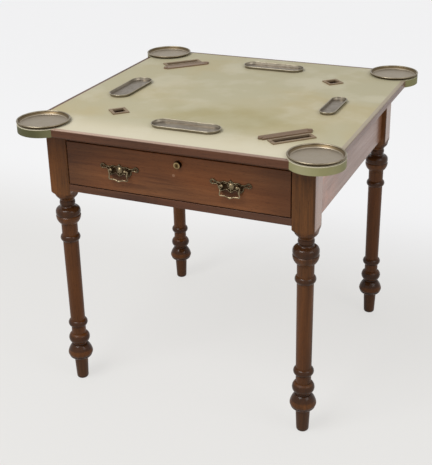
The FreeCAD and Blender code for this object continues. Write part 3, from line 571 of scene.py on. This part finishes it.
# --- Corner dishes and counter trays ----------------------------------------
# Spun and pressed sheet brass, nickel plated, with a rolled rim. The plate has
# dulled, is scratched by glasses and counters, and shows brass at the rims.
def aged_metal_group():
    """Old plated or lacquered metal.

    Clouds of tarnish are soft noise. Where Height lies between Low and High the
    metal goes from its hollow colour to its rubbed colour. Fine scratches are
    noise stretched along X of the vector."""
    tree, given, result = shader_group(
        "aged_metal",
        [("Vector", "Vector", None), ("Height", "Float", 0.0), ("Low", "Float", 0.0), ("High", "Float", 1.0),
         ("Hollow", "Color", None), ("Rubbed", "Color", None), ("Tarnish", "Color", None),
         ("Clouds", "Float", 0.5)],
        [("Colour", "Color"), ("Dull", "Float"), ("Scratches", "Float")])
    clouds = node(tree, "TexNoise", {"Vector": given["Vector"], "Scale": 45.0, "Detail": 5.0,
                                     "Distortion": 0.4}).outputs[0]
    specks = node(tree, "TexNoise", {"Vector": given["Vector"], "Scale": 420.0, "Detail": 3.0}).outputs[0]
    long_way = node(tree, "Mapping", {0: given["Vector"], "Scale": (60.0, 2600.0, 2600.0)})
    scratches = node(tree, "TexNoise", {"Vector": long_way.outputs[0], "Scale": 1.0, "Detail": 2.0})
    proud = node(tree, "MapRange", {"Value": given["Height"]}, interpolation_type="SMOOTHSTEP")
    tree.links.new(given["Low"], proud.inputs["From Min"])
    tree.links.new(given["High"], proud.inputs["From Max"])
    colour = mixed(tree, proud.outputs[0], given["Hollow"], given["Rubbed"])
    stain = between(tree, calculate(tree, "MULTIPLY_ADD", specks, 0.3, clouds), 0.55, 0.80)
    stain = calculate(tree, "MULTIPLY", stain, given["Clouds"])
    tree.links.new(mixed(tree, stain, colour, given["Tarnish"]), result["Colour"])
    worn = calculate(tree, "MULTIPLY", proud.outputs[0], 0.5)
    tree.links.new(calculate(tree, "SUBTRACT", calculate(tree, "ADD", stain, 0.5), worn), result["Dull"])
    tree.links.new(scratches.outputs[0], result["Scratches"])
    return tree


aged_metal = aged_metal_group()


def metal(name, height, limits, hollow, rubbed, tarnish, clouds, rough):
    """An aged metal, hollow to rubbed between the limits of height(tree).

    clouds is the share of tarnish, and rough holds the roughness of what is
    rubbed and of what is dull. Returns the material, its tree, shader and colour."""
    material = bpy.data.materials.new(name)
    material.use_nodes = True
    tree = material.node_tree
    shader = tree.nodes["Principled BSDF"]
    shader.inputs["Metallic"].default_value = 1.0
    figure = grouped(tree, aged_metal, {"Vector": object_place(tree), "Height": height(tree),
                                        "Low": limits[0], "High": limits[1], "Hollow": hollow,
                                        "Rubbed": rubbed, "Tarnish": tarnish, "Clouds": clouds})
    bump = node(tree, "Bump", {"Height": figure["Scratches"], "Strength": 0.18, "Distance": 0.0001})
    tree.links.new(figure["Colour"], shader.inputs["Base Color"])
    tree.links.new(between(tree, figure["Dull"], 0.0, 1.2, rough[0], rough[1]), shader.inputs["Roughness"])
    tree.links.new(bump.outputs[0], shader.inputs["Normal"])
    return material, tree, shader, figure["Colour"]


def object_height(tree):
    """Height above the floor."""
    return object_axes(tree)["Z"]


table_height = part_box("leather_top")[1][2]
dish_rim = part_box("corner_dish_fr")[1][2]
rolled_rim = (dish_rim - 0.0028, dish_rim - 0.0006)
# the wall under the rolled rim keeps the dark hollow colour: a painted dark reflection
dish_finish, tree, shader, colour = metal(
    "spun_nickel", object_height, rolled_rim, hollow=srgb(106, 91, 68), rubbed=srgb(150, 140, 121),
    tarnish=srgb(98, 84, 62), clouds=0.5, rough=(0.36, 0.50))
# the dish's floor is paler than its wall
floor_start, floor_full = table_height + 0.0024, table_height + 0.0004
low_down = between(tree, object_height(tree), floor_start, floor_full)
tree.links.new(mixed(tree, low_down, colour, srgb(158, 147, 130)), shader.inputs["Base Color"])
dress(dish_finish, *("corner_dish_" + corner_name for corner_name in CORNERS))
tray_wall = (table_height + 0.001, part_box("counter_tray_front")[1][2])
tray_finish = metal(
    "pressed_nickel", object_height, tray_wall, hollow=srgb(136, 127, 115), rubbed=srgb(156, 148, 130),
    tarnish=srgb(108, 98, 82), clouds=0.35, rough=(0.32, 0.48))[0]
dress(tray_finish, *("counter_tray_" + side for side in ("front", "back", "left", "right")))


# --- Wells, slots and score bars --------------------------------------------
# Satin walnut linings and round-pinned bars, let in cornerwise, with the grain
# along each piece. Below the table's surface they are painted dark as the shade
# in the hollows.
def inlay(name, shift, dark, light, warm):
    """A wood whose grain runs cornerwise, painted dark below the table's surface as the shade in the
    hollows.
    """
    hollow_shade_start, hollow_shade_full = table_height + 0.0012, table_height - 0.004
    material, tree, shader, colour = wooden(name, "X", dark, light, warm, polish=(0.38, 0.55),
                                            shift=shift, tilt=-math.pi / 4)
    # painted shade in the wells, slots and round the bars below the surface
    deep = between(tree, object_height(tree), hollow_shade_start, hollow_shade_full)
    tree.links.new(mixed(tree, deep, colour, srgb(44, 26, 16)), shader.inputs["Base Color"])
    return material


dress(inlay("liner_walnut", 5.3, dark=srgb(98, 80, 62), light=srgb(150, 130, 104), warm=srgb(138, 116, 88)),
      "well_liner_left", "well_liner_right", "slot_liner_front", "slot_liner_back")
dress(inlay("bar_walnut", 6.1, dark=srgb(84, 66, 50), light=srgb(138, 116, 94), warm=srgb(120, 96, 74)),
      "score_bar_front", "score_bar_back")


# --- Drawer boxes -----------------------------------------------------------
# Pale secondary wood, dovetailed into the front, with a thin bottom in grooves.
# The two drawers are alike, turned about.
ENDS = ("front", "back")
for end_name in ENDS:
    dress(pale_y, end_name + "_drawer_left_side", end_name + "_drawer_right_side")
    dress(pale_x, end_name + "_drawer_back", end_name + "_drawer_bottom")


# --- Drawer fronts ----------------------------------------------------------
# One walnut board each, with the grain across the drawer, warmer in clouds.
# A small plugged hole marks the middle.
front_low, front_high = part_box("front_drawer_front")
front_middle = (front_low[2] + front_high[2]) / 2
front_finish, tree, shader, colour = wooden(
    "drawer_front_walnut", "X", dark=srgb(74, 44, 27), light=srgb(122, 78, 46), warm=srgb(124, 72, 36),
    shift=7.7)
axes = object_axes(tree)
sideways = calculate(tree, "ABSOLUTE", axes["X"])

# the polish is darker towards the ends
end_start, end_full, end_share = 0.16, 0.29, 0.46
ends = between(tree, sideways, end_start, end_full, 0.0, end_share)

# an oval of painted shadow under each pull
pull_shadow_width, pull_shadow_height, pull_shadow_rise, pull_shadow_share = 0.028, 0.018, 0.004, 0.72
pull_low, pull_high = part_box("pull_plate_front_right")


def squared_share(distance, reach):
    """The square of a distance in shares of a reach."""
    share = calculate(tree, "DIVIDE", calculate(tree, "ABSOLUTE", distance), reach)
    return calculate(tree, "POWER", share, 2.0)


across = squared_share(calculate(tree, "SUBTRACT", sideways, (pull_low[0] + pull_high[0]) / 2), pull_shadow_width)
up = squared_share(calculate(tree, "SUBTRACT", axes["Z"], pull_low[2] + pull_shadow_rise), pull_shadow_height)
pull_shadow = between(tree, calculate(tree, "ADD", across, up), 1.3, 0.3, 0.0, pull_shadow_share)
# darker ends, and the pulls' painted shadow
darker_and_shaded = mixed(tree, calculate(tree, "MAXIMUM", ends, pull_shadow), colour, srgb(44, 27, 18))

# the plug's place on the board's face, and where its pale round starts and is full
plug_place = (-0.001, front_middle + 0.006, 0.0)
plug_edge, plug_full, plug_share = 0.0042, 0.0030, 0.55
on_face = node(tree, "CombineXYZ", {0: axes["X"], 1: axes["Z"]}).outputs[0]
from_plug = node(tree, "VectorMath", {0: on_face, 1: plug_place}, operation="DISTANCE").outputs["Value"]
plug = between(tree, from_plug, plug_edge, plug_full, 0.0, plug_share)
tree.links.new(mixed(tree, plug, darker_and_shaded, srgb(156, 122, 96)), shader.inputs["Base Color"])
dress(front_finish, "front_drawer_front", "back_drawer_front")


# --- Drawer locks -----------------------------------------------------------
# A brass barrel and ring stand out of each drawer front. The face is rubbed
# bright by the key; the barrel's sides behind it and the plug are painted near
# black as shade.
def from_middle(tree):
    """How far out a point lies from the table's middle, front to back."""
    return calculate(tree, "ABSOLUTE", object_axes(tree)["Y"])


# how far behind the barrel's face the brass starts to be rubbed, and is fully so
rub_depth, face_depth = 0.0022, 0.0002
barrel_out = -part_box("front_lock_plug")[0][1]
barrel_face = (barrel_out - rub_depth, barrel_out - face_depth)
# the barrel's sides and the plug in the keyhole are painted near black as shade
lock_finish = metal("lock_brass", from_middle, barrel_face, hollow=srgb(48, 34, 16),
                    rubbed=srgb(160, 138, 100), tarnish=srgb(70, 50, 34), clouds=0.5, rough=(0.25, 0.45))[0]
plug_finish = metal("plug_brass", from_middle, barrel_face, hollow=srgb(48, 34, 16),
                    rubbed=srgb(96, 78, 48), tarnish=srgb(60, 42, 24), clouds=0.5, rough=(0.3, 0.5))[0]
for end_name in ENDS:
    dress(lock_finish, end_name + "_lock_case", end_name + "_lock_bolt")
    dress(plug_finish, end_name + "_lock_plug")


# --- Drawer pulls -----------------------------------------------------------
# Cast brass batwing plates and swan-neck bails, browned all over. What stands
# proud is rubbed, and dark wax fills the hollows.
PULLS = tuple(end_name + "_" + side for end_name in ENDS for side in ("left", "right"))
drawer_face = -front_low[1]
plate_thickness, relief_height = 0.0015, 0.0009
# how far the bail's inner and outer sides stand out of the drawer
bail_inside, bail_outside = 0.0070, 0.0105
plate_face_out = drawer_face + plate_thickness
plate_finish = metal("plate_brass", from_middle, (plate_face_out, plate_face_out + relief_height),
                     hollow=srgb(54, 41, 26), rubbed=srgb(142, 127, 100), tarnish=srgb(60, 42, 28),
                     clouds=0.5, rough=(0.34, 0.54))[0]
bail_finish = metal("bail_brass", from_middle, (drawer_face + bail_inside, drawer_face + bail_outside),
                    hollow=srgb(82, 67, 47), rubbed=srgb(146, 131, 104), tarnish=srgb(72, 54, 38),
                    clouds=0.6, rough=(0.30, 0.50))[0]
for pull in PULLS:
    dress(plate_finish, "pull_plate_" + pull)
    dress(bail_finish, "pull_bail_" + pull)


# --- Pull ornament ----------------------------------------------------------
# Relief cast with each plate: a bead round the outline, rings round the eyes, a
# swag, leaves, and a rosette round the boss. The bail has a grip and two collars.
def bead(path, radii, closed=False, sides=10):
    """A round bead along a path in the XZ plane, as rows of points, quads and end caps.

    P(t, a) = C(t) + r(t) (cos a N(t) + sin a Y), where N is the path's normal in
    the plane. An open bead is closed by a flat cap at each end."""
    path = np.asarray(path, dtype=float)
    along = np.roll(path, -1, axis=0) - np.roll(path, 1, axis=0) if closed else np.gradient(path, axis=0)
    along = along / np.linalg.norm(along, axis=1)[:, None]
    angle = np.linspace(0, 2 * math.pi, sides, endpoint=False)
    radius = np.broadcast_to(radii, len(path))[:, None]
    out = radius * np.cos(angle)
    points = np.stack([path[:, :1] - out * along[:, 1:], radius * np.sin(angle),
                       path[:, 1:] + out * along[:, :1]], axis=-1).reshape(-1, 3)
    row = np.arange(len(path) if closed else len(path) - 1)[:, None]
    side = np.arange(sides)
    following = (row + 1) % len(path) * sides
    next_side = (side + 1) % sides
    quads = np.stack([row * sides + side, following + side, following + next_side,
                      row * sides + next_side], axis=-1).reshape(-1, 4)
    caps = np.zeros((0, sides), int) if closed else np.stack([side, (len(path) - 1) * sides + side[::-1]])
    return points, quads, caps


def ring(x, z, radius, thickness, petals=0, ripple=0.0, steps=96):
    """A closed round bead about a point, its radius rippled into petals.

    C(a) = (x + R cos a, z + R sin a), with R = radius (1 + ripple cos(petals a))."""
    turn = np.linspace(0, 2 * math.pi, steps, endpoint=False)
    reach = radius * (1 + ripple * np.cos(petals * turn))
    path = np.stack([x + reach * np.cos(turn), z + reach * np.sin(turn)], axis=1)
    return bead(path, thickness, closed=True)


def pod(start, end, thick, thin, steps=17):
    """A leaf or pellet between two points: r falls from thick to thin, rounded at both ends.

    r(t) = (thick + (thin - thick) t) sqrt(1 - (2 t - 1)^4), with t from 0 to 1."""
    blunt = 0.003
    share = np.sin(np.linspace(-math.pi / 2, math.pi / 2, steps)) / 2 + 0.5
    radii = (thick + (thin - thick) * share) * np.sqrt(np.maximum(1 - (2 * share - 1) ** 4, blunt))
    return bead(np.outer(1 - share, start) + np.outer(share, end), radii)


def plate_outline(half_width, half_height):
    """The plate's own outline, drawn from arcs, as evenly spaced points a little inside it.

    Each arc's end is given in shares of the half width and half height, with
    its bulge in millimetres."""
    inset = 1.1
    point_count, smoothings = 240, 3
    shares = np.array([(0, -1), (0.15, -0.62), (0.31, -0.74), (0.57, -0.62), (0.60, -0.14), (0.79, 0.0),
                       (1.0, 0.34), (0.76, 0.70), (0.50, 0.44), (0.22, 0.56), (0, 1)])
    bulge = np.array((1.5, -1.2, 3.5, 1.5, -1.5, 3.0, 4.0, -2.0, 1.5, -2.0))
    ends = shares * (half_width, half_height)
    right = arcs(ends, bulge)
    whole = np.concatenate([right, ends[-1:], right[:0:-1] * (-1, 1)])
    steps = np.linalg.norm(np.diff(whole, axis=0, append=whole[:1]), axis=1)
    reach = np.concatenate([[0], np.cumsum(steps)])
    wanted = np.linspace(0, reach[-1], point_count, endpoint=False)
    closed = np.concatenate([whole, whole[:1]])
    even = np.stack([np.interp(wanted, reach, closed[:, axis]) for axis in (0, 1)], axis=1)
    for _ in range(smoothings):
        even = (np.roll(even, 1, axis=0) + 2 * even + np.roll(even, -1, axis=0)) / 4
    heading = np.roll(even, -1, axis=0) - np.roll(even, 1, axis=0)
    heading /= np.linalg.norm(heading, axis=1)[:, None]
    return even + inset * np.stack([-heading[:, 1], heading[:, 0]], axis=1)


def brass_piece(name, beads, place, finish, body):
    """Beads in millimetres about a place in metres, joined into one piece that rides on a body.

    Pieces at the back are turned half round about the upright axis."""
    starts = np.cumsum([0] + [len(points) for points, quads, caps in beads])
    points = np.concatenate([points for points, quads, caps in beads]) / 1000.0
    if place[1] > 0:
        points[:, :2] *= -1
    faces = [face for start, (_, quads, caps) in zip(starts.tolist(), beads)
             for face in (quads + start).tolist() + (caps + start).tolist()]
    piece = smooth_piece(name, points + np.array(place), faces, finish)
    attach(piece, body)


# the swag hangs in two waves on each side of the plate's middle
swag_start, swag_end, swag_low, swag_rise, swag_wave = 4.0, 40.0, 1.5, 4.0, 18.0
swag_run = np.linspace(swag_start, swag_end, num=60)
swag_height = swag_low + swag_rise * np.sin(math.pi * (swag_run - swag_start) / swag_wave) ** 2
swag = np.stack([swag_run, swag_height], axis=1)

# the grip lies round the bend at the bottom of the bail's wire, and swells in its middle
wire = 1.7
bail_drop, bend_slope, bend_blunt = 28.2, 0.367, 1.59
grip_half, grip_play, grip_swell = 5.0, 0.05, 0.85
grip_run = np.linspace(-grip_half, grip_half, num=33)
grip = np.stack([grip_run, bend_slope * np.sqrt(grip_run ** 2 + bend_blunt ** 2) - bail_drop], axis=1)
grip_radius = wire + grip_play + grip_swell * np.cos(math.pi * grip_run / (2 * grip_half)) ** 2

# a collar lies round each side of the bail, which bows outwards there
collar_x, collar_drop, collar_half, collar_swell, side_bow = 23.26, 12.6, 2.3, 0.8, 18.0
collar_play = 0.01
collar_run = np.linspace(-collar_half, collar_half, num=17)
collar_radius = wire + collar_swell * np.sqrt(1 - (collar_run / (collar_half + collar_play)) ** 2)

eye_width_share, eye_height_share = 0.84, 0.36
for pull in PULLS:
    low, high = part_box("pull_plate_" + pull)
    half_width, half_height = (high[0] - low[0]) / 2 * 1000, (high[2] - low[2]) / 2 * 1000
    eye_x, eye_z = eye_width_share * half_width, eye_height_share * half_height
    edge_bead = [bead(plate_outline(half_width, half_height), radii=0.85, closed=True, sides=8)]
    eye_rings = [ring(side * eye_x, eye_z, radius=3.6, thickness=0.7) for side in (-1, 1)]
    swags = [bead(swag * (side, 1), radii=0.7) for side in (-1, 1)]
    rosette = [ring(0, 0, radius=7.4, thickness=0.9, petals=8, ripple=0.08)]
    leaves = [pod(start=(0, 8.5), end=(0, 14.0), thick=1.6, thin=0.5),
              pod(start=(0, -8.5), end=(0, -13.5), thick=1.6, thin=0.5)]
    pellets = [pod(start=(side * 23.0, -9.5), end=(side * 26.5, -8.5), thick=1.1, thin=1.1)
               for side in (-1, 1)]
    outwards = -1.0 if pull.startswith("front") else 1.0
    middle = ((low[0] + high[0]) / 2, outwards * plate_face_out, (low[2] + high[2]) / 2)
    brass_piece("pull_relief_" + pull, edge_bead + eye_rings + swags + rosette + leaves + pellets, middle,
                plate_finish, pull.split("_")[0] + "_drawer")

    # the bail's pivots lie the wire's radius below its highest point
    low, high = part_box("pull_bail_" + pull)
    pivot = ((low[0] + high[0]) / 2, (low[1] + high[1]) / 2, high[2] - wire / 1000)
    fittings = [bead(grip, grip_radius)]
    for side in (-1, 1):
        waist = np.stack([side * (collar_x + collar_run ** 2 / side_bow), collar_run - collar_drop], axis=1)
        fittings.append(bead(waist, collar_radius))
    brass_piece("bail_grip_" + pull, fittings, pivot, bail_finish, pull + "_bail")
